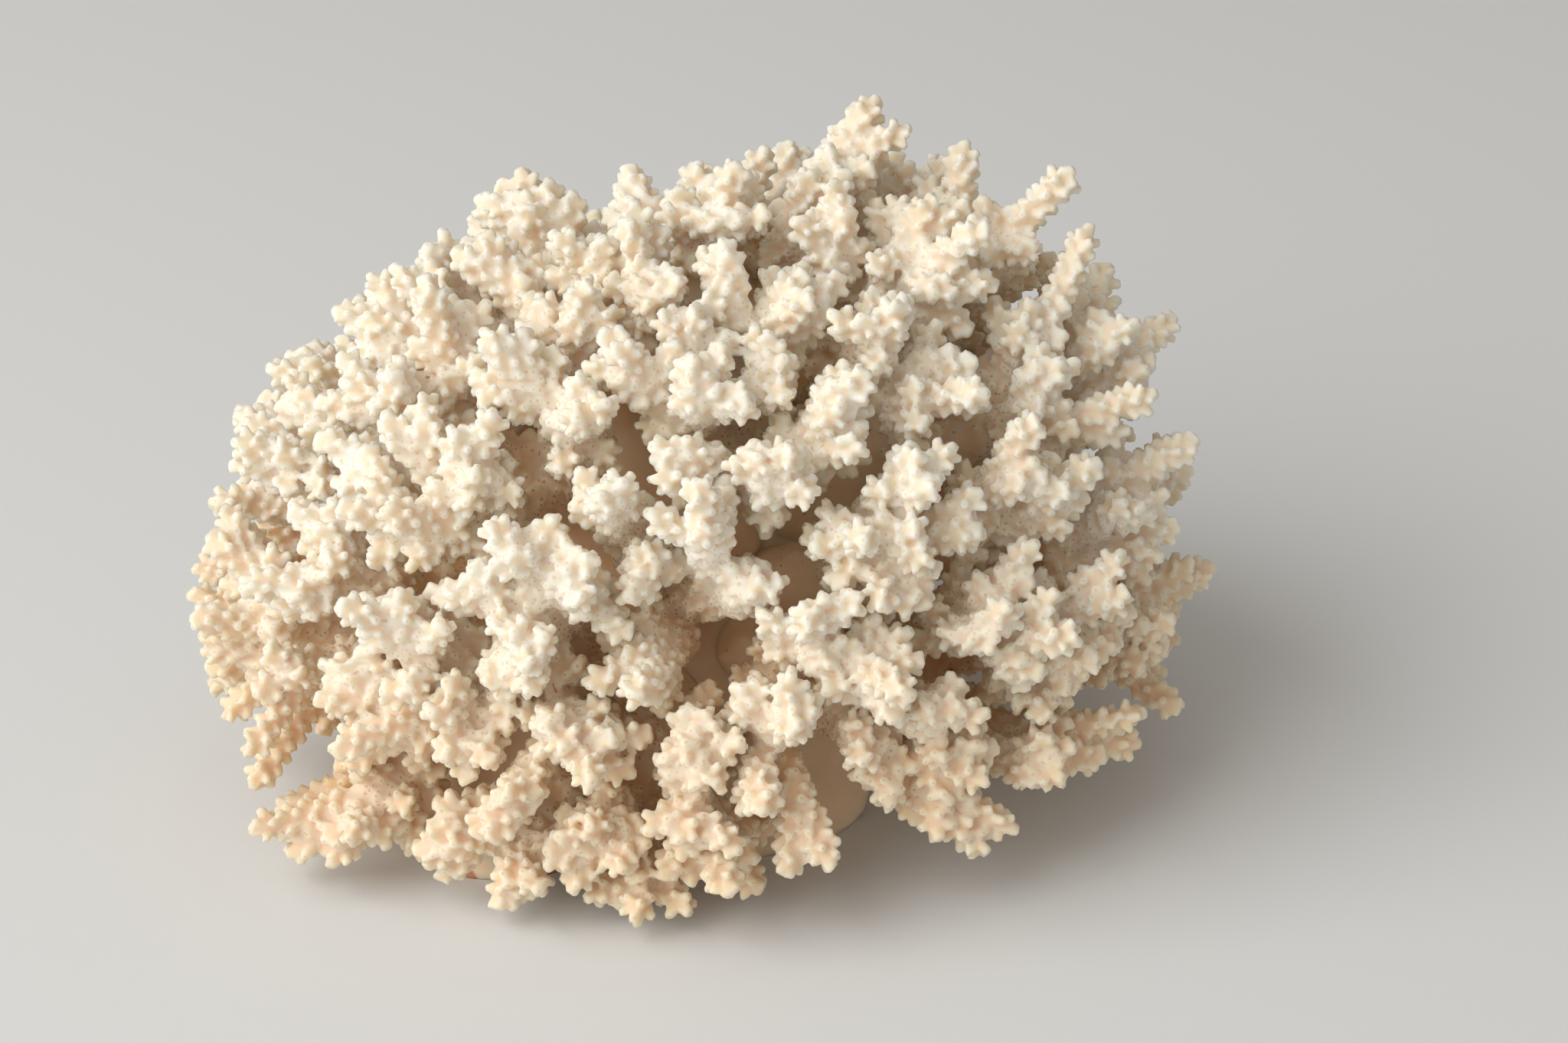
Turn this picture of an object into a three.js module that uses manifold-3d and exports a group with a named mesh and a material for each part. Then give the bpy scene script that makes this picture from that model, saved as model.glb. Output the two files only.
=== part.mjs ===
// A branching coral colony: a stout holdfast, cut flat where it grew on its rock, and the main
// branches that radiate from it. Each branch forks, and each fork ends in a hand of fingers whose
// tips make up a low dome. Millimetres, +Z up. The origin is the middle of the flat cut, and the
// front of the colony looks along -Y.
import * as THREE from 'three';
import { mergeVertices } from 'three/addons/utils/BufferGeometryUtils.js';
import Module from 'manifold-3d';

const wasm = await Module();
wasm.setup();

const { Vector2, Vector3 } = THREE;
const degrees = THREE.MathUtils.degToRad;

// ---- driving dimensions ----

const heart = new Vector3(16, 12, 34); // the point inside the holdfast that every limb grows away from
const canopy = new Vector3(96, 80, 87); // how far the finger tips stand from the heart along X, Y and Z
const floorGap = 1.5; // the least height of any finger over the surface that the colony rests on
const seam = 0.3; // gap between the holdfast and the branches that grow from it
const clearance = 0.7; // least gap between the limbs of different branches
const slack = 0.7; // how far a facet may move where limbs join, to leave out slivers

// How many limbs of each order are spread over the dome, how far out of its even place each may
// stand, as a share of the spacing, where each order ends, as a share of the way out, and how
// much that end may vary.
const branches = { count: 25, seed: 11, nudge: 0.3, turn: 0.4, end: 0.46, unevenness: 0 };
const forks = { count: 82, seed: 301, nudge: 0.4, turn: 1.9, end: 0.7, unevenness: 0.06 };
const fingers = { count: 250, seed: 907, nudge: 0.5, turn: 3.1, end: 0.99, unevenness: 0.08 };

// The form of each order of limb: its number of sides, and its rings as [share of length, radius].
const branchForm = { sides: 7, rings: [[0, 4.3], [1, 6.8]] };
const forkForm = { sides: 5, rings: [[0, 5.6], [0.92, 4.4]] };
const fingerForm = { sides: 5, rings: [[0, 3.9], [0.87, 4.4]] };

const rootDepth = 14; // a branch starts this far out from the heart, inside the holdfast
const forkReach = 5; // a fork starts this far before its branch's end and bends as far beyond it

// A finger leaves its fork at a share of the fork's length, nearer the root the further it leans
// out, and runs on along the fork for a share of its own length before it turns.
const fingerStart = { most: 0.9, least: 0.35, lessPerDegree: 0.028 };
const fingerRunOn = 0.4;

// The dome's rim, as an elevation seen from the heart: it droops lowest towards one azimuth.
const rim = { level: -9, drooped: -27, azimuth: -105 };

// Where the dome swells or sinks: towards a point as seen from the heart, over an angle in degrees.
const swells = [
  { part: 'spire', towards: [40, 22, 95], over: 9, by: 0.13 },
  { part: 'right shoulder', towards: [74, 10, 76], over: 15, by: 0.19 },
  { part: 'left shoulder', towards: [-38, 20, 80], over: 10, by: 0.08 },
  { part: 'saddle', towards: [-16, 32, 79], over: 14, by: -0.19 },
  { part: 'left flank', towards: [-80, 0, 60], over: 25, by: -0.03 },
  { part: 'left point', towards: [-100, -14, -6], over: 11, by: 0.05 },
  { part: 'front foot', towards: [-4, -79, -29], over: 12, by: 0.03 },
  { part: 'left foot', towards: [-86, -57, -22], over: 8, by: 0.17 },
  { part: 'front window', towards: [0, -76, 26], over: 15, by: -0.2 },
];

// Where the dome is bare of forks and fingers: towards a point, out to an angle in degrees.
const bareSpots = [
  { part: 'front window', towards: [0, -76, 26], over: 9 },
  { part: 'left notch', towards: [-75, -35, -8], over: 7 },
  { part: 'right foot', towards: [23, -46, -23], over: 12 },
];

// The holdfast's profile, as [radius, height], its lobed outline, and its width front to back as a
// share of its width side to side.
const holdfastProfile = [[45, 0], [46, 4], [42, 13], [38, 26], [31, 40], [19, 51]];
const holdfastTop = 56;
const holdfastSides = 28;
const holdfastDepth = 0.9;
const holdfastLobes = [
  { waves: 3, depth: 0.08, turn: 2.36 },
  { waves: 4, depth: 0.06, turn: 4.71 },
  { waves: 7, depth: 0.04, turn: 4.0 },
];

const bone = new THREE.Color(0.86, 0.79, 0.69);
const branchRoughness = 0.7;
const holdfastRoughness = 0.75;

// ---- growth ----

const goldenAngle = Math.PI * (3 - Math.sqrt(5));
const lowestSine = Math.sin(degrees(rim.drooped));

// A repeatable number from 0 to 1 for each whole number.
function scatter(n) {
  const s = Math.sin(n * 12.9898 + 4.1) * 43758.5453;
  return s - Math.floor(s);
}

// The lowest elevation at which the dome still has limbs, for a direction from the heart.
function rimAt(direction) {
  const turn = Math.atan2(direction.y, direction.x) - degrees(rim.azimuth);
  const droop = Math.max(0, Math.cos(turn)) ** 2;
  return degrees(THREE.MathUtils.lerp(rim.level, rim.drooped, droop));
}

function isBare(direction) {
  return bareSpots.some(({ towards, over }) => (
    direction.angleTo(new Vector3(...towards)) < degrees(over)
  ));
}

// Even directions over the dome in a golden-angle spiral from the crown down, each nudged.
function directionsOf(order) {
  const spacing = Math.sqrt((2 * Math.PI * (1 - lowestSine)) / order.count);
  const slip = order.nudge * spacing;
  const found = [];
  for (let i = 0; i < order.count; i++) {
    const chance = [0, 1, 2].map((k) => scatter(order.seed + 3 * i + k) - 0.5);
    const sine = 1 - ((i + 0.5) / order.count) * (1 - lowestSine);
    const cosine = Math.sqrt(1 - sine * sine);
    const elevation = Math.asin(sine) + slip * chance[0];
    const azimuth = order.turn + i * goldenAngle + (slip * chance[1]) / Math.max(cosine, 0.3);
    const direction = new Vector3(
      Math.cos(elevation) * Math.cos(azimuth),
      Math.cos(elevation) * Math.sin(azimuth),
      Math.sin(elevation),
    );
    const end = order.end * (1 + 2 * order.unevenness * chance[2]);
    const grows = order === branches || !isBare(direction);
    if (grows && elevation > rimAt(direction)) found.push({ direction, end });
  }
  return found;
}

// The distance from the heart to the dome of finger tips.
function reachOf(direction) {
  let reach = 1 / direction.clone().divide(canopy).length();
  for (const swell of swells) {
    const angle = direction.angleTo(new Vector3(...swell.towards));
    reach *= 1 + swell.by * Math.exp(-((angle / degrees(swell.over)) ** 2));
  }
  return reach;
}

// The point at a share of the way from the heart to the dome, kept a radius above the floor.
function pointAt(direction, share, radius) {
  const reach = reachOf(direction) * share;
  const room = (heart.z - floorGap - radius) / Math.max(1e-6, -direction.z);
  return heart.clone().addScaledVector(direction, Math.min(reach, room));
}

function nearest(direction, candidates) {
  let best = candidates[0];
  for (const one of candidates) {
    if (one.direction.dot(direction) > best.direction.dot(direction)) best = one;
  }
  return best;
}

// A limb along a curve, with points inside it that keep limbs of different branches apart.
function limbOf(curve, form) {
  const radius = Math.max(...form.rings.map((ring) => ring[1]));
  const length = curve.getPoint(0).distanceTo(curve.getPoint(1));
  const samples = [];
  for (let step = 2; step <= 10; step++) {
    const share = Math.min(step / 10, 1 - radius / length / 2);
    samples.push({ centre: curve.getPoint(share), radius });
  }
  return { curve, form, samples };
}

function clears(limb, others) {
  return others.every((other) => limb.samples.every((sample) => (
    sample.centre.distanceTo(other.centre) > sample.radius + other.radius + clearance
  )));
}

// Adds a limb to its branch, unless it would touch another branch.
function addLimb(branch, limb, grown) {
  const others = grown.filter((other) => other !== branch);
  const fits = clears(limb, others.flatMap((other) => other.limbs.flatMap((one) => one.samples)));
  if (fits) branch.limbs.push(limb);
  return fits;
}

function branchAlong({ direction, end }) {
  const root = heart.clone().addScaledVector(direction, rootDepth);
  const top = pointAt(direction, end, branchForm.rings[0][1]);
  return { direction, top, limbs: [limbOf(new THREE.LineCurve3(root, top), branchForm)] };
}

function forkCurve(branch, { direction, end }) {
  const start = branch.top.clone().addScaledVector(branch.direction, -forkReach);
  const bend = branch.top.clone().addScaledVector(branch.direction, forkReach);
  const top = pointAt(direction, end, forkForm.rings[0][1]);
  return new THREE.QuadraticBezierCurve3(start, bend, top);
}

function fingerCurve(fork, { direction, end }) {
  const lean = THREE.MathUtils.radToDeg(fork.direction.angleTo(direction));
  const share = Math.max(fingerStart.least, fingerStart.most - fingerStart.lessPerDegree * lean);
  const start = fork.curve.getPoint(share);
  const tip = pointAt(direction, end, fingerForm.rings[1][1]);
  const runOn = fingerRunOn * start.distanceTo(tip);
  const bend = start.clone().addScaledVector(fork.curve.getTangent(share), runOn);
  bend.z = Math.max(bend.z, Math.min(start.z, tip.z));
  return new THREE.QuadraticBezierCurve3(start, bend, tip);
}

// Grows the colony: a list of branches, each with the limbs that it is made of.
function grow() {
  const grown = directionsOf(branches).map(branchAlong);
  const forked = [];
  for (const spot of directionsOf(forks)) {
    const branch = nearest(spot.direction, grown);
    const curve = forkCurve(branch, spot);
    const fits = addLimb(branch, limbOf(curve, forkForm), grown);
    if (fits) forked.push({ direction: spot.direction, branch, curve });
  }
  for (const spot of directionsOf(fingers)) {
    const fork = nearest(spot.direction, forked);
    addLimb(fork.branch, limbOf(fingerCurve(fork, spot), fingerForm), grown);
  }
  return grown;
}

// ---- solids ----

function solidOf(geometry) {
  geometry.deleteAttribute('normal');
  geometry.deleteAttribute('uv');
  const merged = mergeVertices(geometry, 1e-4);
  return new wasm.Manifold(new wasm.Mesh({
    numProp: 3,
    vertProperties: merged.attributes.position.array,
    triVerts: new Uint32Array(merged.index.array),
  }));
}

function geometryOf(solid) {
  const mesh = solid.getMesh();
  const geometry = new THREE.BufferGeometry();
  geometry.setAttribute('position', new THREE.BufferAttribute(mesh.vertProperties, 3));
  geometry.setIndex(new THREE.BufferAttribute(mesh.triVerts, 1));
  return geometry;
}

// A round profile carried along a curve, closed at its root, and pointed at its tip if its last
// ring comes before the end.
function limbGeometry({ curve, form }) {
  const profile = [new Vector2(0, 0)];
  for (const [share, radius] of form.rings) profile.push(new Vector2(radius, share));
  profile.push(new Vector2(0, 1));
  const geometry = new THREE.LatheGeometry(profile, form.sides);
  const chord = curve.getPoint(1).sub(curve.getPoint(0));
  const level = new Vector3(0, 0, 1).cross(chord);
  const across = level.lengthSq() > 1 ? level : new Vector3(1, 0, 0);
  const position = geometry.attributes.position;
  for (let i = 0; i < position.count; i++) {
    const along = curve.getTangent(position.getY(i));
    const side = across.clone().projectOnPlane(along).normalize();
    const point = curve.getPoint(position.getY(i));
    point.addScaledVector(side, position.getX(i));
    point.addScaledVector(side.clone().cross(along), position.getZ(i));
    position.setXYZ(i, point.x, point.y, point.z);
  }
  return geometry;
}

// A lathed mound whose outline is lobed and which leans from the flat cut towards the heart.
// The margin makes it that much fatter, to cut the branches a seam away from it.
function holdfastGeometry(margin) {
  const profile = [new Vector2(0, -margin)];
  for (const [radius, height] of holdfastProfile) {
    profile.push(new Vector2(radius + margin, height === 0 ? -margin : height + margin / 2));
  }
  profile.push(new Vector2(0, holdfastTop + margin));
  const geometry = new THREE.LatheGeometry(profile, holdfastSides);
  geometry.rotateX(Math.PI / 2);
  geometry.scale(1, holdfastDepth, 1);
  const position = geometry.attributes.position;
  for (let i = 0; i < position.count; i++) {
    const [x, y, z] = [position.getX(i), position.getY(i), position.getZ(i)];
    const height = Math.max(0, z);
    const fade = 1 - height / holdfastTop;
    const waves = holdfastLobes.map((lobe) => (
      lobe.depth * Math.sin(lobe.waves * Math.atan2(y, x) + lobe.turn)
    ));
    const lobed = 1 + fade * waves.reduce((sum, wave) => sum + wave, 0);
    const lean = height / heart.z;
    position.setXYZ(i, x * lobed + heart.x * lean, y * lobed + heart.y * lean, z);
  }
  return geometry;
}

function largestBody(solid) {
  return solid.decompose().sort((a, b) => b.volume() - a.volume())[0];
}

// ---- the colony ----

// A branch is named for its place on the dome, and numbered from the crown down.
function placeOf({ direction }) {
  const elevation = Math.asin(direction.z);
  if (elevation > degrees(48)) return 'crown';
  return elevation > degrees(12) ? 'shoulder' : 'skirt';
}

const colony = new THREE.Group();

function addPiece(name, solid, roughness) {
  const material = new THREE.MeshStandardMaterial({ color: bone, roughness, metalness: 0 });
  const mesh = new THREE.Mesh(geometryOf(solid), material);
  mesh.name = name;
  colony.add(mesh);
}

addPiece('holdfast', solidOf(holdfastGeometry(0)), holdfastRoughness);

const grownHoldfast = solidOf(holdfastGeometry(seam));
const numbers = { crown: 0, shoulder: 0, skirt: 0 };
for (const branch of grow()) {
  const joined = wasm.Manifold.union(branch.limbs.map((limb) => solidOf(limbGeometry(limb))));
  const whole = joined.asOriginal().simplify(slack);
  const place = placeOf(branch);
  numbers[place] += 1;
  const name = `${place}_branch_${String(numbers[place]).padStart(2, '0')}`;
  addPiece(name, largestBody(whole.subtract(grownHoldfast)), branchRoughness);
}

export default colony;
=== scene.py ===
import bpy
import numpy as np
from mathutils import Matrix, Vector
from mathutils.kdtree import KDTree


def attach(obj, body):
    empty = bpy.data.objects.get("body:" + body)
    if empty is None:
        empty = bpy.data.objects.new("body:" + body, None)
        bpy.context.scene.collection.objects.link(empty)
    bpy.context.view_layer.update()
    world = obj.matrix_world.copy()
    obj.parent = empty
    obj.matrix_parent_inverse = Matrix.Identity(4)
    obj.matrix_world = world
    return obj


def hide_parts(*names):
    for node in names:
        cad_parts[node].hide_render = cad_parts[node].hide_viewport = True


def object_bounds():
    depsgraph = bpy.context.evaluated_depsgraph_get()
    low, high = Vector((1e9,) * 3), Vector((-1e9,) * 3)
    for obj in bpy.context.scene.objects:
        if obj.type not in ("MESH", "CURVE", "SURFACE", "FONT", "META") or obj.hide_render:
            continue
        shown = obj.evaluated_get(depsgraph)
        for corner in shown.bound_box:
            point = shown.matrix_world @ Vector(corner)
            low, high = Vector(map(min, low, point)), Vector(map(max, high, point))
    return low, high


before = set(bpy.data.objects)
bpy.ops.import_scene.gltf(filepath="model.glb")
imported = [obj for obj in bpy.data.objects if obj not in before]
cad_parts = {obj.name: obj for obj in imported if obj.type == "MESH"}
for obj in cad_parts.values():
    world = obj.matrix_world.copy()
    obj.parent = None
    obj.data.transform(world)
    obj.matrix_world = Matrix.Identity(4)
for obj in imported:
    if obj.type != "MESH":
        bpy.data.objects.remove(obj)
cadLow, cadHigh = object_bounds()
print("frame loaded:", len(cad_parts), "nodes")

mm = 0.001

# How the colony grows, in millimetres. As in the construction: the heart that every limb grows away
# from, how far the tips stand from it, where the dome of tips swells or sinks, and the elevations
# above which a branch is named crown or shoulder. Only here: how the tips are lifted, and the spots
# that stay bare of forks or thin of twigs.
growth = {
    "heart": np.array([16.0, 12.0, 34.0]),
    "canopy": np.array([96.0, 80.0, 87.0]),
    "floorGap": 1.5,
    "clearance": 0.7,
    "rootDepth": 14.0,
    "forkReach": 5.0,
    "rim": {"level": -9, "drooped": -27, "azimuth": -105},
    "swells": [
        ((40, 22, 95), 9, 0.13),
        ((74, 10, 76), 15, 0.19),
        ((-38, 20, 80), 10, 0.08),
        ((-16, 32, 79), 14, -0.19),
        ((-80, 0, 60), 25, -0.03),
        ((-100, -14, -6), 11, 0.05),
        ((-4, -79, -29), 12, 0.03),
        ((-86, -57, -22), 8, 0.17),
        ((0, -76, 26), 15, -0.2),
    ],
    "lift": {"height": 14.0, "fall": 0.75, "outermost": 1.1, "belowLevel": 0.17, "fadesOver": 0.5},
    "bare": [((0, -76, 26), 9), ((-75, -35, -8), 7), ((23, -46, -23), 12)],
    "thin": [((24, -87, -7), 9)],
    "elevations": {"crown": 48, "shoulder": 12},
}

# Each order of limb: how many are spread over the dome, how they are nudged and turned, where they
# end, the room that each keeps clear of other branches and of the floor, and its radius at root and
# tip. A start is the most and the least share of the way up the parent, and the loss per degree of
# lean. A limb follows its parent for the share runOn before it bends away, stands apart from it by
# at least so many degrees, and gathers towards it by a share. A spur is a short stub on the side of
# a limb, turned upwards by its rise.
orders = {
    "branch": {
        "count": 25, "seed": 11, "nudge": 0.3, "turn": 0.4, "end": 0.46, "unevenness": 0,
        "room": 6.8, "floorRoom": 4.3, "radii": (8.0, 6.4),
    },
    "fork": {
        "count": 82, "seed": 301, "nudge": 0.4, "turn": 1.9, "end": 0.7, "unevenness": 0.06,
        "room": 5.6, "floorRoom": 5.6, "radii": (5.6, 4.2),
    },
    "finger": {
        "count": 250, "seed": 907, "nudge": 0.5, "turn": 3.1, "end": 0.99, "unevenness": 0.08,
        "room": 4.4, "floorRoom": 4.4, "radii": (3.6, 2.2),
        "start": (0.9, 0.35, 0.028), "runOn": 0.4,
    },
    "twig": {
        "count": 1180, "seed": 1511, "nudge": 0.5, "turn": 0.7, "end": 0.94, "unevenness": 0.08,
        "room": -0.6, "floorRoom": 4.4, "radii": (2.7, 1.9),
        "start": (0.9, 0.15, 0.065), "runOn": 0.35, "apart": 3.0, "gather": 0.15,
    },
    "underTwig": {
        "count": 820, "seed": 2203, "nudge": 0.6, "turn": 2.2, "end": 0.79, "unevenness": 0.07,
        "room": -0.6, "floorRoom": 4.4, "radii": (2.8, 2.1),
        "start": (0.8, 0.15, 0.05), "runOn": 0.35, "apart": 3.0, "gather": 0,
    },
    "spur": {
        "perLimb": {"branch": 4, "fork": 4, "finger": 2, "twig": 1, "underTwig": 0},
        "seed": 4001, "room": -0.6, "floorRoom": 4.0, "radii": (2.2, 1.7), "rise": 0.35,
        "along": (0.15, 0.6), "length": (4.5, 8.5), "lean": (28, 48),
        "toBend": 0.6, "fromBend": 0.5, "turnsBack": 0.7,
    },
}

goldenAngle = np.pi * (3 - np.sqrt(5))
spareDirection = (0.36, 0.48, 0.8)  # squares the frame of a limb that is straight


def unit(vectors):
    # each vector over its length
    return vectors / np.linalg.norm(vectors, axis=-1, keepdims=True)


def scatter(n):
    # a repeatable number from 0 to 1: what follows the point in a large multiple of a sine
    s = np.sin(np.asarray(n) * 12.9898 + 4.1) * 43758.5453
    return s - np.floor(s)


def rimAt(directions):
    # the rim's elevation: level, drooping with the square of the cosine of the turn from the front
    rim = growth["rim"]
    turn = np.arctan2(directions[:, 1], directions[:, 0]) - np.radians(rim["azimuth"])
    droop = np.maximum(0, np.cos(turn)) ** 2
    return np.radians(rim["level"] + (rim["drooped"] - rim["level"]) * droop)


def within(directions, spots):
    # whether a direction lies inside one of the spots, each a point to aim at and an angle
    found = np.zeros(len(directions), bool)
    for towards, over in spots:
        found |= directions @ unit(np.array(towards, float)) > np.cos(np.radians(over))
    return found


def directionsOf(order):
    # a golden-angle spiral: the sine of the elevation falls evenly, the azimuth turns by the golden
    # angle, and both are nudged by a share of the spacing
    i = np.arange(order["count"])
    span = 1 - np.sin(np.radians(growth["rim"]["drooped"]))
    chance = scatter(order["seed"] + 3 * i[:, None] + np.arange(3)) - 0.5
    slip = order["nudge"] * np.sqrt(2 * np.pi * span / order["count"])
    sine = 1 - (i + 0.5) / order["count"] * span
    elevation = np.arcsin(sine) + slip * chance[:, 0]
    azimuth = order["turn"] + i * goldenAngle
    azimuth += slip * chance[:, 1] / np.maximum(np.sqrt(1 - sine**2), 0.3)
    directions = np.stack([
        np.cos(elevation) * np.cos(azimuth),
        np.cos(elevation) * np.sin(azimuth),
        np.sin(elevation),
    ], axis=1)
    ends = order["end"] * (1 + 2 * order["unevenness"] * chance[:, 2])
    kept = elevation > rimAt(directions)
    # forks, fingers and twigs keep out of the bare spots, and twigs out of the thin ones as well
    if order["room"] < orders["branch"]["room"]:
        kept &= ~within(directions, growth["bare"])
    if order["room"] < orders["finger"]["room"]:
        kept &= ~within(directions, growth["thin"])
    return directions[kept], ends[kept]


def reachOf(directions):
    # the radius of an ellipsoid, times one plus a bell-shaped swell about each swell's direction
    reach = 1 / np.linalg.norm(directions / growth["canopy"], axis=-1)
    for towards, over, by in growth["swells"]:
        angle = np.arccos(np.clip(directions @ unit(np.array(towards, float)), -1, 1))
        reach = reach * (1 + by * np.exp(-((angle / np.radians(over)) ** 2)))
    return reach


def pointAt(direction, share, room):
    # along the direction, out to a share of the reach, or until a radius above the floor
    lowest = (growth["heart"][2] - growth["floorGap"] - room) / max(1e-6, -direction[2])
    return growth["heart"] + direction * min(reachOf(direction) * share, lowest)


def alongBezier(points, share):
    # (1-t)^2 a + 2t(1-t) b + t^2 c for the three points a, b, c of each limb
    t = share[..., None]
    root, bend, tip = (points[:, None, k] for k in range(3))
    return (1 - t) ** 2 * root + 2 * t * (1 - t) * bend + t**2 * tip


def tangentOf(points, share):
    # the direction of (1-t)(b-a) + t(c-b)
    t = share[..., None]
    first = (points[:, 1] - points[:, 0])[:, None]
    second = (points[:, 2] - points[:, 1])[:, None]
    return unit((1 - t) * first + t * second)


class Colony:
    # the limbs grown so far, with spots along each that keep the limbs of other branches away
    def __init__(self):
        self.limbs = []
        self.spots = np.zeros((0, 3))
        self.rooms = np.zeros(0)
        self.owners = np.zeros(0, int)

    def add(self, branch, kind, points, direction, test=True):
        order = orders[kind]
        points = np.array(points)
        length = np.linalg.norm(points[2] - points[0])
        # spots at every tenth of the way, but none by the root, where branches meet
        share = np.minimum(np.arange(2, 11) / 10, 1 - max(0, order["room"]) / length / 2)
        spots = alongBezier(points[None], share[None])[0]
        if test:
            others = self.owners != branch
            gaps = np.linalg.norm(self.spots[others][:, None] - spots, axis=-1)
            if (gaps <= self.rooms[others][:, None] + order["room"] + growth["clearance"]).any():
                return False
        self.limbs.append({
            "branch": branch, "kind": kind, "points": points, "direction": direction,
        })
        self.spots = np.concatenate([self.spots, spots])
        self.rooms = np.concatenate([self.rooms, np.full(len(spots), order["room"])])
        self.owners = np.concatenate([self.owners, np.full(len(spots), branch)])
        return True


def offshoot(parent, kind, direction, end):
    # a limb that leaves its parent the nearer the root the more it leans, and bends to its end
    order = orders[kind]
    lean = np.degrees(np.arccos(np.clip(parent["direction"] @ direction, -1, 1)))
    most, least, perDegree = order["start"]
    share = np.array([[max(least, most - perDegree * lean)]])
    start = alongBezier(parent["points"][None], share)[0, 0]
    along = tangentOf(parent["points"][None], share)[0, 0]
    tip = pointAt(direction, end, order["floorRoom"])
    bend = start + along * order["runOn"] * np.linalg.norm(tip - start)
    bend[2] = max(bend[2], min(start[2], tip[2]))
    return [start, bend, tip], lean


def lifted(points):
    # limbs turn up towards the light as they near the dome: a rise of s^4 less three quarters of
    # s^2, for the share s of the way out, that fades towards the crown and below the rim
    lift = growth["lift"]
    away = points - growth["heart"]
    distance = np.linalg.norm(away, axis=-1)
    directions = away / np.maximum(distance, 1e-6)[..., None]
    s = np.minimum(distance / reachOf(directions), lift["outermost"])
    level = np.clip((directions[..., 2] + lift["belowLevel"]) / lift["fadesOver"], 0, 1)
    rise = lift["height"] * (s**4 - lift["fall"] * s**2) * (1 - directions[..., 2] ** 2) * level
    return points + rise[..., None] * np.array([0.0, 0.0, 1.0])


def growColony():
    # branches grow from the heart, and each later limb from the one nearest to it in direction:
    # forks, fingers, then twigs; spurs stand on the sides of all but the shorter twigs. A limb that
    # would come too near another branch isn't grown.
    colony = Colony()
    heart = growth["heart"]
    directions, ends = directionsOf(orders["branch"])
    tops = []
    for branch, (direction, end) in enumerate(zip(directions, ends)):
        root = heart + direction * growth["rootDepth"]
        top = pointAt(direction, end, orders["branch"]["floorRoom"])
        colony.add(branch, "branch", [root, (root + top) / 2, top], direction, test=False)
        tops.append(top)

    forks = []
    for direction, end in zip(*directionsOf(orders["fork"])):
        branch = int(np.argmax(directions @ direction))
        reach = directions[branch] * growth["forkReach"]
        top = pointAt(direction, end, orders["fork"]["floorRoom"])
        if colony.add(branch, "fork", [tops[branch] - reach, tops[branch] + reach, top], direction):
            forks.append(colony.limbs[-1])

    fingers = []
    forkDirections = np.array([fork["direction"] for fork in forks])
    for direction, end in zip(*directionsOf(orders["finger"])):
        fork = forks[int(np.argmax(forkDirections @ direction))]
        points, lean = offshoot(fork, "finger", direction, end)
        if colony.add(fork["branch"], "finger", points, direction):
            fingers.append(colony.limbs[-1])

    fingerDirections = np.array([finger["direction"] for finger in fingers])
    for kind in ("twig", "underTwig"):
        order = orders[kind]
        for direction, end in zip(*directionsOf(order)):
            finger = fingers[int(np.argmax(fingerDirections @ direction))]
            direction = unit(direction + order["gather"] * (finger["direction"] - direction))
            points, lean = offshoot(finger, kind, direction, end)
            if lean > order["apart"]:
                colony.add(finger["branch"], kind, points, direction)

    spur = orders["spur"]
    for number, stem in enumerate(list(colony.limbs)):
        for k in range(spur["perLimb"][stem["kind"]]):
            chance = scatter(spur["seed"] + 29 * number + 4 * k + np.arange(4))
            share = np.array([[np.interp(chance[0], (0, 1), spur["along"])]])
            start = alongBezier(stem["points"][None], share)[0, 0]
            along = tangentOf(stem["points"][None], share)[0, 0]
            side = unit(np.cross(along, spareDirection))
            turn = 2 * np.pi * chance[1]
            out = side * np.cos(turn) + np.cross(along, side) * np.sin(turn)
            lean = np.radians(np.interp(chance[2], (0, 1), spur["lean"]))
            first = along * np.cos(lean) + out * np.sin(lean)
            first = unit(first + np.array([0, 0, spur["rise"] * max(0, 1 - along[2])]))
            stemRadius = np.interp(share[0, 0], (0, 1), orders[stem["kind"]]["radii"])
            length = stemRadius + np.interp(chance[3], (0, 1), spur["length"])
            bend = start + first * length * spur["toBend"]
            tip = bend + unit(first + along * spur["turnsBack"]) * length * spur["fromBend"]
            towards = unit(tip - heart)
            isFree = not within(towards[None], growth["bare"] + growth["thin"])[0]
            if tip[2] > spur["floorRoom"] and isFree:
                colony.add(stem["branch"], "spur", [start, bend, tip], towards)
    for limb in colony.limbs:
        limb["points"] = lifted(limb["points"])
    return colony


def branchNames(colony):
    # crown, shoulder or skirt by the branch's elevation, numbered from the crown down
    above = growth["elevations"]
    names = []
    for limb in colony.limbs:
        if limb["kind"] == "branch":
            elevation = np.degrees(np.arcsin(limb["direction"][2]))
            lower = "shoulder" if elevation > above["shoulder"] else "skirt"
            place = "crown" if elevation > above["crown"] else lower
            number = sum(name.startswith(place) for name in names) + 1
            names.append(f"{place}_branch_{number:02d}")
    return names


colony = growColony()
names = branchNames(colony)
kinds = [limb["kind"] for limb in colony.limbs]
print("grown:", {kind: kinds.count(kind) for kind in orders})


# A limb's tube: the rings on its shaft, its sides, and the angles of the rings on its round tip.
limbForm = {"shaftRings": 9, "sides": 12, "domeAngles": (30, 58, 80)}


def framesOf(points, share):
    # two directions square to the limb: across its bending plane, and the cross product with it
    along = tangentOf(points, share)
    across = np.cross(points[:, 1] - points[:, 0], points[:, 2] - points[:, 0])
    straight = np.linalg.norm(across, axis=1) < 1e-3
    spare = np.cross(points[:, 2] - points[:, 0], spareDirection)
    across = np.where(straight[:, None], spare, across)[:, None]
    side = unit(across - along * (across * along).sum(-1, keepdims=True))
    return along, side, np.cross(along, side)


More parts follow.
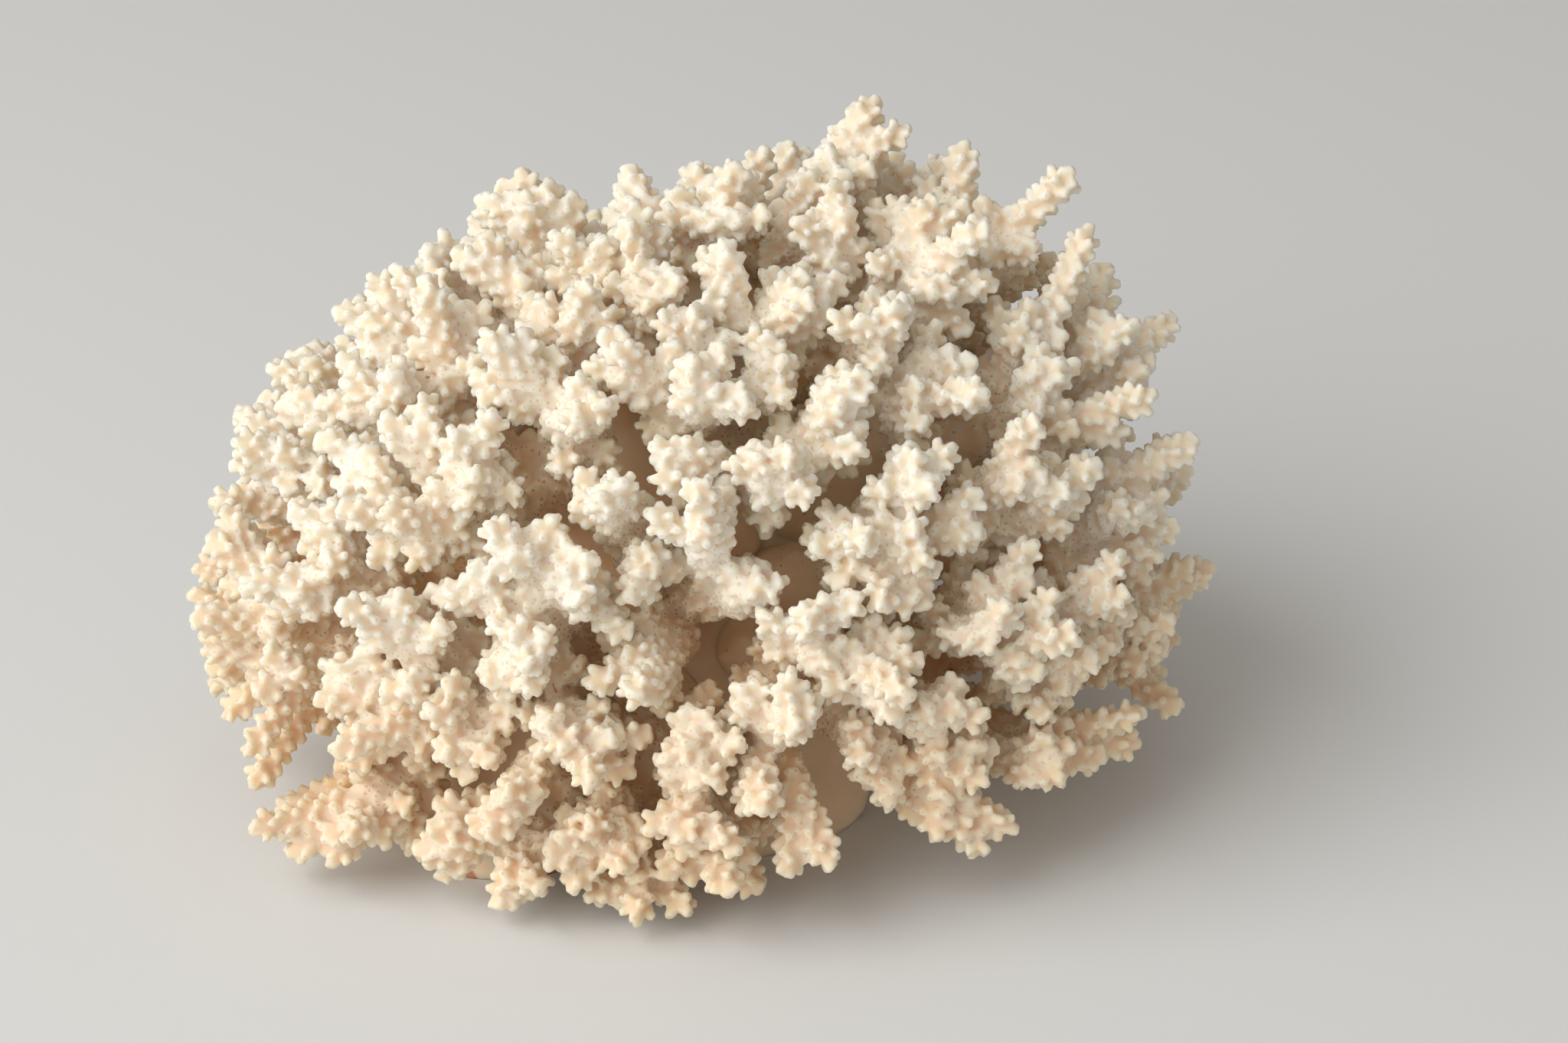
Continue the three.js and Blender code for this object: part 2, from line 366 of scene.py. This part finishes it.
def limbSurface(limbs):
    # rings of a tapering radius carried along each limb, closed at the root by a face and at the
    # tip by rings of a sphere down to a small face
    points = np.array([limb["points"] for limb in limbs])
    radii = np.array([orders[limb["kind"]]["radii"] for limb in limbs])
    length = np.linalg.norm(points[:, 2] - points[:, 0], axis=1)
    dome = np.radians(limbForm["domeAngles"])
    shaft = np.linspace(0, 1, limbForm["shaftRings"])
    last = 1 - radii[:, 1] / length
    share = np.concatenate([
        shaft * last[:, None],
        last[:, None] + np.sin(dome) * (radii[:, 1] / length)[:, None],
    ], axis=1)
    radius = np.concatenate([
        radii[:, :1] + (radii[:, 1:] - radii[:, :1]) * shaft,
        np.cos(dome) * radii[:, 1:],
    ], axis=1)
    along, side, other = framesOf(points, share)
    angle = np.linspace(0, 2 * np.pi, limbForm["sides"], endpoint=False)
    ring = side[:, :, None] * np.cos(angle)[:, None] + other[:, :, None] * np.sin(angle)[:, None]
    return alongBezier(points, share)[:, :, None] + ring * radius[:, :, None, None]


def tubeFaces(count, rings, sides, start=0):
    # quads between neighbouring rings of each tube, and a face over its first and its last ring
    corner = np.arange(count * rings * sides).reshape(count, rings, sides) + start
    after = np.roll(corner, -1, axis=2)
    quads = np.stack([corner[:, :-1], after[:, :-1], after[:, 1:], corner[:, 1:]], axis=-1)
    return [quads.reshape(-1, 4), corner[:, 0, ::-1], corner[:, -1]]


def meshFrom(name, points, faceSets, attributes=None):
    # points in millimetres, and sets of faces that each have one number of corners; an attribute is
    # its domain and its values, with three columns where it is a vector
    mesh = bpy.data.meshes.new(name)
    sizes = np.concatenate([np.full(len(faces), faces.shape[1]) for faces in faceSets])
    corners = np.concatenate([faces.ravel() for faces in faceSets])
    mesh.vertices.add(len(points))
    mesh.vertices.foreach_set("co", (np.asarray(points) * mm).astype(np.float32).ravel())
    mesh.loops.add(len(corners))
    mesh.loops.foreach_set("vertex_index", corners.astype(np.int32))
    mesh.polygons.add(len(sizes))
    mesh.polygons.foreach_set("loop_start", (np.cumsum(sizes) - sizes).astype(np.int32))
    mesh.polygons.foreach_set("use_smooth", np.ones(len(sizes), bool))
    mesh.update(calc_edges=True)
    for key, (domain, values) in (attributes or {}).items():
        kind, field = ("FLOAT", "value") if values.ndim == 1 else ("FLOAT_VECTOR", "vector")
        data = mesh.attributes.new(key, kind, domain).data
        data.foreach_set(field, values.astype(np.float32).ravel())
    return mesh


# The skin: how finely the stems, and then the stems with their cups, are run together, how each is
# smoothed, the share of the fine faces that is kept, and the height and size of the stems' lumps.
skin = {
    "stemVoxel": 1.2, "stemRounds": 10, "voxel": 0.46, "rounds": 1, "smoothing": 0.5,
    "keptFaces": 0.175, "lump": 0.35, "lumpSize": 5.0,
}


def modified(mesh, settings):
    # the mesh after the modifiers in settings, read back as points and faces of one size
    block = bpy.data.objects.new("block", mesh)
    bpy.context.scene.collection.objects.link(block)
    for kind, values in settings:
        modifier = block.modifiers.new(kind.title(), kind)
        for key, value in values.items():
            setattr(modifier, key, value)
    whole = block.evaluated_get(bpy.context.evaluated_depsgraph_get()).to_mesh()
    points = np.zeros(len(whole.vertices) * 3, np.float32)
    whole.vertices.foreach_get("co", points)
    corners = np.zeros(len(whole.loops), np.int32)
    whole.loops.foreach_get("vertex_index", corners)
    faces = corners.reshape(len(whole.polygons), -1)
    bpy.data.objects.remove(block)
    bpy.data.meshes.remove(mesh)
    return points.reshape(-1, 3).astype(float) / mm, faces


def runTogether(points, faceSets, voxel, rounds, keptFaces=None):
    # closed shells that pass through each other become one smooth closed surface, by voxels
    settings = [
        ("REMESH", {"mode": "VOXEL", "voxel_size": voxel * mm}),
        ("SMOOTH", {"factor": skin["smoothing"], "iterations": rounds}),
    ]
    if keptFaces:
        settings.append(("DECIMATE", {"ratio": keptFaces, "use_collapse_triangulate": True}))
    return modified(meshFrom("shells", points, faceSets), settings)


def noiseAt(points, size, seed=0):
    # smooth noise from -1 to 1: chance values at the corners of cubes, blended with smooth steps
    place = points / size
    cell = np.floor(place)
    step = place - cell
    step = step * step * (3 - 2 * step)
    total = np.zeros(len(points))
    for corner in np.ndindex(2, 2, 2):
        at = cell + corner
        chance = scatter(at @ np.array([1.0, 57.31, 113.97]) + seed)
        weight = np.prod(np.where(np.array(corner) == 1, step, 1 - step), axis=1)
        total += weight * chance
    return 2 * total - 1


def insideShare(points):
    # how far inside the dome of tips, as a share of the way from the dome to the heart
    away = points - growth["heart"]
    distance = np.linalg.norm(away, axis=1)
    return 1 - distance / reachOf(away / distance[:, None])


# The cups: how much of a limb's surface each takes, how far down a limb they crowd and how deep in
# the colony they end, their radius and height from old to young, the cup on the tip, how they lean
# from the limb (radians on its round tip, degrees down its shaft), and a profile as (share of
# height, share of radius).
cups = {
    "seed": 7001, "area": 5.3, "crowded": 15.0, "deepest": 0.48,
    "radius": (0.84, 0.97), "height": (0.7, 1.75), "tipRadius": 1.25, "tipHeight": 1.8,
    "smallest": 0.85, "sizeChance": 0.3, "turnChance": 0.5, "leanChance": 0.16,
    "tipLean": 0.72, "shaftLean": 48, "lowerLean": 16, "leansOver": 12,
    "allYoung": 2, "agesInside": (1.4, 3), "widens": 0.5, "rises": 0.8,
    "rimTilt": 0.5, "levelAt": 0.3,
    "clear": 0.35, "lowest": 0.8, "oldShare": 0.55, "youngShare": 2,
    "sides": 7, "profile": [(-0.5, 1.08), (0.2, 1.02), (0.7, 1.0), (0.92, 0.84), (1.0, 0.5)],
}


def cupsOn(limb, number):
    # a spiral of cups from the tip down: over the dome each takes an equal share of a sphere, and
    # down the shaft an equal length, turned each time by the golden angle
    points = limb["points"][None]
    rootRadius, tipRadius = orders[limb["kind"]]["radii"]
    length = np.linalg.norm(limb["points"][2] - limb["points"][0])
    capArea = 2 * np.pi * tipRadius**2
    shaftArea = 2 * np.pi * 0.5 * (rootRadius + tipRadius) * (length - tipRadius)
    n = int((capArea + shaftArea) / cups["area"])
    chance = scatter(cups["seed"] + 37 * number + np.arange(4 * n)).reshape(4, n)
    spent = np.arange(n) * cups["area"]
    onDome = spent < capArea
    polar = np.arccos(np.clip(1 - spent / capArea, 0, 1))
    downShaft = (spent - capArea) / (2 * np.pi * tipRadius)
    down = tipRadius + np.where(onDome, -tipRadius * np.cos(polar), downShaft)
    polar = np.where(onDome, polar, np.pi / 2)
    kept = down < length * 0.95
    share = np.clip(1 - np.maximum(down, tipRadius) / length, 0, 1)[None]
    centre = alongBezier(points, share)[0]
    along, side, other = (axis[0] for axis in framesOf(points, share))
    turn = np.arange(n) * goldenAngle + 2 * np.pi * scatter(number)
    turn = turn + cups["turnChance"] * (chance[0] - 0.5)
    out = side * np.cos(turn)[:, None] + other * np.sin(turn)[:, None]
    radius = np.interp(1 - share[0], (0, 1), (tipRadius, rootRadius))
    outwards = along * np.cos(polar)[:, None] + out * np.sin(polar)[:, None]
    foot = centre + outwards * radius[:, None]
    lower = cups["lowerLean"] * np.clip(down / cups["leansOver"], 0, 1)
    lean = np.where(onDome, cups["tipLean"] * polar, np.radians(cups["shaftLean"] + lower))
    lean = lean + cups["leanChance"] * (chance[1] - 0.5)
    axis = along * np.cos(lean)[:, None] + out * np.sin(lean)[:, None]
    size = cups["smallest"] + cups["sizeChance"] * chance[2]
    return {
        "foot": foot[kept], "axis": axis[kept], "down": down[kept], "size": size[kept],
        "chance": chance[3][kept], "first": (np.arange(n) == 0)[kept],
    }


def limbSpots(limbs, steps=14):
    # points along the middle of each limb, with the limb's radius there and its number
    points = np.array([limb["points"] for limb in limbs])
    radii = np.array([orders[limb["kind"]]["radii"] for limb in limbs])
    length = np.linalg.norm(points[:, 2] - points[:, 0], axis=1)
    share = np.linspace(0, 1, steps) * (1 - radii[:, 1] / length)[:, None]
    radius = radii[:, :1] + (radii[:, 1:] - radii[:, :1]) * np.linspace(0, 1, steps)
    number = np.repeat(np.arange(len(limbs)), steps)
    return alongBezier(points, share).reshape(-1, 3), radius.ravel(), number


def cupSurface(foot, axis, radius, height, tilt):
    # rings of the profile about each cup's axis; the rim is tilted, by a cosine round the axis
    heights, widths = np.array(cups["profile"]).T
    side = unit(np.cross(axis, (0.1, 0.2, 0.97)))
    other = np.cross(axis, side)
    angle = np.linspace(0, 2 * np.pi, cups["sides"], endpoint=False)
    ring = side[:, None] * np.cos(angle)[:, None] + other[:, None] * np.sin(angle)[:, None]
    rise = heights * height[:, None]
    onRim = np.where(heights > 0.5, 1, 0)[None, :, None]
    tilted = (tilt[:, None] * np.cos(angle))[:, None, :]
    raised = rise[:, :, None] + onRim * tilted * radius[:, None, None]
    centre = foot[:, None, None] + axis[:, None, None] * raised[..., None]
    return centre + ring[:, None] * (widths * radius[:, None])[:, :, None, None]


def cupPlaces(limbs, branch):
    # every cup of a branch that stands clear of its other limbs: foot, axis, radius and height
    bearing = [k for k, limb in enumerate(limbs) if limb["kind"] != "branch"]
    found = [cupsOn(limbs[k], 100 * branch + k) for k in bearing]
    owner = np.repeat(bearing, [len(one["down"]) for one in found])
    keys = ("foot", "axis", "down", "size", "chance", "first")
    foot, axis, down, size, chance, first = (
        np.concatenate([one[key] for one in found]) for key in keys
    )
    depth = insideShare(foot)
    # young near the tip of a limb, and near the dome of tips
    youngest, ageing = cups["agesInside"]
    young = np.clip(1 - (down - cups["allYoung"]) / cups["crowded"], 0, 1)
    young = young * np.clip(youngest - ageing * depth, 0, 1)
    radius = size * np.interp(young ** cups["widens"], (0, 1), cups["radius"])
    height = size * np.interp(young ** cups["rises"], (0, 1), cups["height"])
    radius = np.where(first, cups["tipRadius"] * size, radius)
    height = np.where(first, cups["tipHeight"] * size, height)

    spots, rooms, numbers = limbSpots(limbs)
    top = foot + axis * height[:, None]
    buried = np.zeros(len(foot), bool)
    # about 400 cups at a time, to spare memory
    for chunk in np.array_split(np.arange(len(foot)), max(1, len(foot) // 400)):
        gap = np.linalg.norm(top[chunk][:, None] - spots, axis=-1) - rooms
        gap = np.where(numbers == owner[chunk][:, None], np.inf, gap)
        buried[chunk] = gap.min(axis=1) < cups["clear"]
    kept = ~buried & (top[:, 2] > cups["lowest"]) & (depth < cups["deepest"])
    kept &= chance < cups["oldShare"] + cups["youngShare"] * young
    return foot[kept], axis[kept], radius[kept], height[kept], chance[kept]


def nearestCup(points, tops):
    # the number of the cup whose top is nearest each point
    tree = KDTree(len(tops))
    for number, top in enumerate(tops):
        tree.insert(top, number)
    tree.balance()
    return np.array([tree.find(point)[1] for point in points])


def branchPiece(branch):
    # a branch's limbs run together and made lumpy, then run together again with their cups; the
    # material's attributes are how far inside a point is, how near the top of its cup, and for
    # each corner its offset from its own cup's axis and its depth below that cup's top, in mm
    limbs = [limb for limb in colony.limbs if limb["branch"] == branch]
    tubes = limbSurface(limbs)
    tubeSets = tubeFaces(*tubes.shape[:3])
    stems, stemFaces = runTogether(
        tubes.reshape(-1, 3), tubeSets, skin["stemVoxel"], skin["stemRounds"])
    out = unit(stems - stems.mean(axis=0))
    stems = stems + out * (skin["lump"] * noiseAt(stems, skin["lumpSize"]))[:, None]

    foot, axis, radius, height, chance = cupPlaces(limbs, branch)
    tilt = cups["rimTilt"] * (chance - cups["levelAt"])
    shells = cupSurface(foot, axis, radius, height, tilt)
    together = np.concatenate([stems, shells.reshape(-1, 3)])
    sets = [stemFaces, *tubeFaces(*shells.shape[:3], start=len(stems))]
    points, faces = runTogether(together, sets, skin["voxel"], skin["rounds"], skin["keptFaces"])

    tops = foot + axis * height[:, None]
    cup = nearestCup(points, tops)
    rise = ((points - tops[cup]) * axis[cup]).sum(axis=1)
    corners = points[faces]
    own = nearestCup(corners.mean(axis=1), tops)
    away = corners - tops[own][:, None]
    below = -(away * axis[own][:, None]).sum(axis=-1)
    values = {
        "inside": ("POINT", insideShare(points)),
        "cup": ("POINT", np.clip(1 + 2 * rise / height[cup], 0, 1)),
        "offAxis": ("CORNER", (away + below[..., None] * axis[own][:, None]).reshape(-1, 3)),
        "below": ("CORNER", below.ravel()),
    }
    name = names[branch].title().replace("_", "")
    piece = bpy.data.objects.new(name, meshFrom(name, points, [faces], values))
    bpy.context.scene.collection.objects.link(piece)
    return piece


# The holdfast: its profile as (radius, height), lobes as (waves, depth, turn), bulges as (height,
# size, seed), and the share of the colony's inner shade that it takes. It lies far below any cup's
# top, so it has no pores.
holdfast = {
    "profile": [
        (45, 0), (46, 2), (45.6, 5), (44, 8.5), (42, 13), (40, 19), (38, 26), (34.8, 33.5),
        (31, 40), (25.6, 46), (19, 51), (10, 55),
    ],
    "top": 56, "depth": 0.9, "sides": 160, "shade": 0.35,
    "lobes": [(3, 0.08, 2.36), (4, 0.06, 4.71), (7, 0.04, 4.0)],
    "bulges": [(0.7, 9.0, 5), (0.3, 3.5, 9)], "bulgesFrom": 4, "middle": 20, "farFromCups": 9.0,
}


def holdfastPiece():
    # the profile turned about the upright axis, its outline lobed, leaning up towards the heart
    angle = np.linspace(0, 2 * np.pi, holdfast["sides"], endpoint=False)
    radius, height = np.array(holdfast["profile"], float).T
    fine = np.linspace(0, len(radius) - 1, 4 * len(radius))
    radius = np.interp(fine, np.arange(len(radius)), radius)
    height = np.interp(fine, np.arange(len(height)), height)
    x = radius[:, None] * np.cos(angle)
    y = radius[:, None] * np.sin(angle) * holdfast["depth"]
    around = np.arctan2(y, x)
    waves = sum(depth * np.sin(waves * around + turn) for waves, depth, turn in holdfast["lobes"])
    lobed = 1 + (1 - height / holdfast["top"])[:, None] * waves
    lean = (height / growth["heart"][2])[:, None]
    surface = np.stack([
        x * lobed + growth["heart"][0] * lean,
        y * lobed + growth["heart"][1] * lean,
        np.broadcast_to(height[:, None], x.shape),
    ], axis=-1)
    flat = surface.reshape(-1, 3)
    rise = np.clip(flat[:, 2] / holdfast["bulgesFrom"], 0, 1)
    bulge = sum(high * noiseAt(flat, size, seed) for high, size, seed in holdfast["bulges"])
    inner = np.array([growth["heart"][0] * 0.5, growth["heart"][1] * 0.5, holdfast["middle"]])
    out = unit(flat - inner)
    flat = flat + out * (rise * bulge)[:, None]
    faces = tubeFaces(1, len(height), holdfast["sides"])
    values = {
        "inside": ("POINT", holdfast["shade"] * np.clip(insideShare(flat), 0, 1)),
        "below": ("POINT", np.full(len(flat), holdfast["farFromCups"])),
    }
    piece = bpy.data.objects.new("Holdfast", meshFrom("Holdfast", flat, faces, values))
    bpy.context.scene.collection.objects.link(piece)
    return piece


# The finish. Colours go from the tips to the stems and the deep ones. Paler tips and tan stems are
# partly the coral's own, but the stem colour between the cups and the deep colour far inside are
# painted warm shade, standing in for light bounced in the crevices. Warmer in patches, with the
# foot's colour multiplied in below a height. Pores are painted shade of pits: dark marks at the
# cups' tops, sized in mm, and dots on bare stems. Rust blots the holdfast's rim. Noise and dot
# scales are per metre.
skeleton = {
    # the stem colour is partly the coral's own tan and partly painted warm shade; the deep colour
    # is painted warm shade
    "tip": (0.90, 0.85, 0.75), "stem": (0.94, 0.745, 0.54), "deepShade": (0.96, 0.76, 0.55),
    "deepShadeFrom": (0.25, 0.6), "stemFrom": (0.0, 0.35), "stemShare": 0.6, "betweenCupsShade": (0.7, 0.5),
    "warm": (0.82, 0.66, 0.48), "warmFrom": (0.45, 0.75), "warmShare": 0.35, "patchScale": 45,
    "foot": (0.93, 0.85, 0.76), "footHeight": (0.02, 0.07),
    # the pore colour is painted shade inside the cups' pits and the stems' small pits
    "poreShade": (0.68, 0.42, 0.22), "poreRadius": (0.2, 0.34), "poreDepth": (0.5, 0.7),
    "poreShare": (0.35, 0.9), "poreFades": (0.0, 0.3),
    "dotScale": 300, "dotRadius": (0.07, 0.11), "dotsFrom": (0.25, 0.35),
    "rust": (0.55, 0.2, 0.08), "rustScale": 170, "rustFrom": (0.56, 0.64),
    "rustHeight": (0.002, 0.008), "rustShare": 0.85,
    "roughness": 0.6, "roughnessChange": 0.08, "grainScale": 900, "bump": (0.25, 0.0004),
    "glow": 0.7, "glowReach": (0.0040, 0.0026, 0.0015),
}


def addNode(tree, kind, inputs=None, **settings):
    # an input is either another node's socket or a plain value
    node = tree.nodes.new(kind)
    for key, value in settings.items():
        setattr(node, key, value)
    for key, value in (inputs or {}).items():
        if isinstance(value, bpy.types.NodeSocket):
            tree.links.new(value, node.inputs[key])
        else:
            node.inputs[key].default_value = value
    return node


def mixColour(tree, share, one, other, blend="MIX"):
    # one colour turned into the other by a share; each is a node's socket or three numbers
    node = addNode(tree, "ShaderNodeMix", data_type="RGBA", blend_type=blend)
    for key, value in ((0, share), (6, one), (7, other)):
        if isinstance(value, bpy.types.NodeSocket):
            tree.links.new(value, node.inputs[key])
        elif key == 0:
            node.inputs[key].default_value = value
        else:
            node.inputs[key].default_value = (*value, 1)
    return node.outputs[2]


def mapRange(tree, value, low, high, toLow=0.0, toHigh=1.0):
    # a smooth step from one value to another as the input goes from low to high
    node = addNode(tree, "ShaderNodeMapRange", {
        "Value": value, "From Min": low, "From Max": high, "To Min": toLow, "To Max": toHigh,
    }, interpolation_type="SMOOTHSTEP")
    return node.outputs["Result"]


def combined(tree, operation, one, other, **settings):
    inputs = {0: one, 1: other}
    return addNode(tree, "ShaderNodeMath", inputs, operation=operation, **settings).outputs[0]


def noiseNode(tree, place, scale, detail):
    inputs = {"Vector": place, "Scale": scale, "Detail": detail}
    return addNode(tree, "ShaderNodeTexNoise", inputs).outputs["Fac"]


def attributeNode(tree, key, output="Fac"):
    return addNode(tree, "ShaderNodeAttribute", attribute_name=key).outputs[output]


def skeletonMaterial(name, rust=False):
    # tip, stem and deep colours by the share inside, with the stem colour between the cups and the
    # deep colour painted warm shade; painted shade of pits as dark pores where a point is near its
    # cup's axis and top, and as dots on bare stems; the foot and its rust by height; grain and
    # pores as bump
    material = bpy.data.materials.new(name)
    material.use_nodes = True
    tree = material.node_tree
    tree.nodes.clear()
    place = addNode(tree, "ShaderNodeTexCoord").outputs["Object"]
    inside = attributeNode(tree, "inside")
    offAxis = attributeNode(tree, "offAxis", "Vector")
    cup = attributeNode(tree, "cup")
    patches = noiseNode(tree, place, skeleton["patchScale"], 3)
    grain = noiseNode(tree, place, skeleton["grainScale"], 4)

    # painted warm shade: the stem colour near the feet of the cups and the deep colour far inside
    # stand in for light bounced in the crevices, over the coral's own paler tips and tan stems
    inner = mapRange(tree, inside, *skeleton["deepShadeFrom"])
    onStem = mapRange(tree, inside, *skeleton["stemFrom"], 0, skeleton["stemShare"])
    cupEnds, footOfCup = skeleton["betweenCupsShade"]
    shadeBetweenCups = mapRange(tree, cup, 0.0, cupEnds, footOfCup, 0)
    outer = combined(tree, "ADD", onStem, shadeBetweenCups, use_clamp=True)
    colour = mixColour(tree, outer, skeleton["tip"], skeleton["stem"])
    colour = mixColour(tree, inner, colour, skeleton["deepShade"])
    warm = mapRange(tree, patches, *skeleton["warmFrom"], 0, skeleton["warmShare"])
    colour = mixColour(tree, warm, colour, skeleton["warm"])

    # painted shade of pits: dark dots on bare stems
    dotInputs = {"Vector": place, "Scale": skeleton["dotScale"], "Randomness": 0.85}
    dots = addNode(tree, "ShaderNodeTexVoronoi", dotInputs)
    dotShade = mapRange(tree, dots.outputs["Distance"], *skeleton["dotRadius"], 1, 0)
    dotShade = combined(tree, "MULTIPLY", dotShade, mapRange(tree, inside, *skeleton["dotsFrom"]))
    dotShade = combined(tree, "MULTIPLY", dotShade, combined(tree, "SUBTRACT", 1.0, cup))
    # painted shade of pits: a dark mark where a point is near its cup's axis and top
    length = addNode(tree, "ShaderNodeVectorMath", {0: offAxis}, operation="LENGTH")
    mouth = mapRange(tree, length.outputs["Value"], *skeleton["poreRadius"], 1, 0)
    atTop = mapRange(tree, attributeNode(tree, "below"), *skeleton["poreDepth"], 1, 0)
    poreShade = combined(tree, "MULTIPLY", mouth, atTop)
    poreShare = mapRange(tree, inside, *skeleton["poreFades"], *skeleton["poreShare"])
    pitShade = combined(tree, "MAXIMUM", dotShade, combined(tree, "MULTIPLY", poreShade, poreShare))
    colour = mixColour(tree, pitShade, colour, skeleton["poreShade"])

    upright = addNode(tree, "ShaderNodeSeparateXYZ", {"Vector": place}).outputs["Z"]
    low = mapRange(tree, upright, *skeleton["footHeight"], 1, 0)
    colour = mixColour(tree, low, colour, skeleton["foot"], "MULTIPLY")
    if rust:
        blots = noiseNode(tree, place, skeleton["rustScale"], 2)
        blot = mapRange(tree, blots, *skeleton["rustFrom"])
        rim = mapRange(tree, upright, *skeleton["rustHeight"], skeleton["rustShare"], 0)
        blot = combined(tree, "MULTIPLY", blot, rim)
        colour = mixColour(tree, blot, colour, skeleton["rust"])

    strength, distance = skeleton["bump"]
    height = combined(tree, "SUBTRACT", grain, pitShade)
    bump = addNode(tree, "ShaderNodeBump", {
        "Height": height, "Strength": strength, "Distance": distance,
    })
    smooth = skeleton["roughness"] - skeleton["roughnessChange"]
    dull = skeleton["roughness"] + skeleton["roughnessChange"]
    rough = mapRange(tree, grain, 0.3, 0.7, smooth, dull)
    shader = addNode(tree, "ShaderNodeBsdfPrincipled", {
        "Base Color": colour, "Roughness": rough, "Normal": bump.outputs["Normal"],
        "Subsurface Weight": skeleton["glow"], "Subsurface Scale": 1.0,
        "Subsurface Radius": skeleton["glowReach"], "Specular IOR Level": 0.3,
    })
    out = addNode(tree, "ShaderNodeOutputMaterial")
    tree.links.new(shader.outputs["BSDF"], out.inputs["Surface"])
    return material


# The camera, in metres and degrees with its lens in millimetres, aims a little off the middle of
# the frame's box.
camera = {"aimOff": (0.0172, -0.0038, -0.0125), "distance": 0.72, "elevation": 25, "lens": 85}
middle = (cadLow + cadHigh) / 2


def makeCamera():
    # behind the front by the distance, up by the elevation, and turned to the aim
    aim = middle + Vector(camera["aimOff"])
    elevation = np.radians(camera["elevation"])
    back = Vector((0, -np.cos(elevation), np.sin(elevation)))
    data = bpy.data.cameras.new("Camera")
    data.lens = camera["lens"]
    data.sensor_width = 36
    holder = bpy.data.objects.new("Camera", data)
    holder.location = aim + back * camera["distance"]
    holder.rotation_euler = (-back).to_track_quat("-Z", "Y").to_euler()
    bpy.context.scene.collection.objects.link(holder)
    bpy.context.scene.camera = holder


# The floor and the lights: each lamp's name, place from the middle, size, power and colour.
studio = {
    "floor": (0.77, 0.795, 0.81), "floorHalf": 6, "floorRoughness": 0.8,
    "world": (1.0, 0.93, 0.85), "worldStrength": 0.35,
    "lights": [
        ("KeyLight", (-1.6, -1.0, 1.4), 2.4, 52, (1.0, 0.985, 0.96)),
        ("FillLight", (-0.8, -2.0, 0.6), 1.6, 9, (1.0, 0.95, 0.88)),
    ],
}


def makeStudio():
    floorMesh = bpy.data.meshes.new("Floor")
    half = studio["floorHalf"]
    corners = [(-half, -half, 0), (half, -half, 0), (half, half, 0), (-half, half, 0)]
    floorMesh.from_pydata(corners, [], [(0, 1, 2, 3)])
    floor = bpy.data.objects.new("Floor", floorMesh)
    material = bpy.data.materials.new("FloorPaint")
    material.use_nodes = True
    shader = material.node_tree.nodes["Principled BSDF"]
    shader.inputs["Base Color"].default_value = (*studio["floor"], 1)
    shader.inputs["Roughness"].default_value = studio["floorRoughness"]
    floorMesh.materials.append(material)
    bpy.context.scene.collection.objects.link(floor)
    world = bpy.data.worlds.new("World")
    world.use_nodes = True
    background = world.node_tree.nodes["Background"]
    background.inputs["Color"].default_value = (*studio["world"], 1)
    background.inputs["Strength"].default_value = studio["worldStrength"]
    bpy.context.scene.world = world
    for name, place, size, power, colour in studio["lights"]:
        data = bpy.data.lights.new(name, "AREA")
        data.size = size
        data.energy = power
        data.color = colour
        lamp = bpy.data.objects.new(name, data)
        lamp.location = middle + Vector(place)
        lamp.rotation_euler = Vector(place).to_track_quat("Z", "Y").to_euler()
        bpy.context.scene.collection.objects.link(lamp)


makeCamera()
makeStudio()
bpy.context.scene.view_settings.view_transform = "Standard"
branchFinish = skeletonMaterial("BranchSkeleton")
holdfastFinish = skeletonMaterial("HoldfastSkeleton", rust=True)

total = 0
for branch, node in enumerate(names):
    piece = branchPiece(branch)
    piece.data.materials.append(branchFinish)
    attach(piece, "root")
    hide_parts(node)
    triangles = sum(len(p.vertices) - 2 for p in piece.data.polygons)
    total += triangles
    print(piece.name, triangles, "triangles")

mound = holdfastPiece()
mound.data.materials.append(holdfastFinish)
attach(mound, "root")
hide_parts("holdfast")
print("all pieces made:", len(names), "branches with", total, "triangles, and the holdfast")
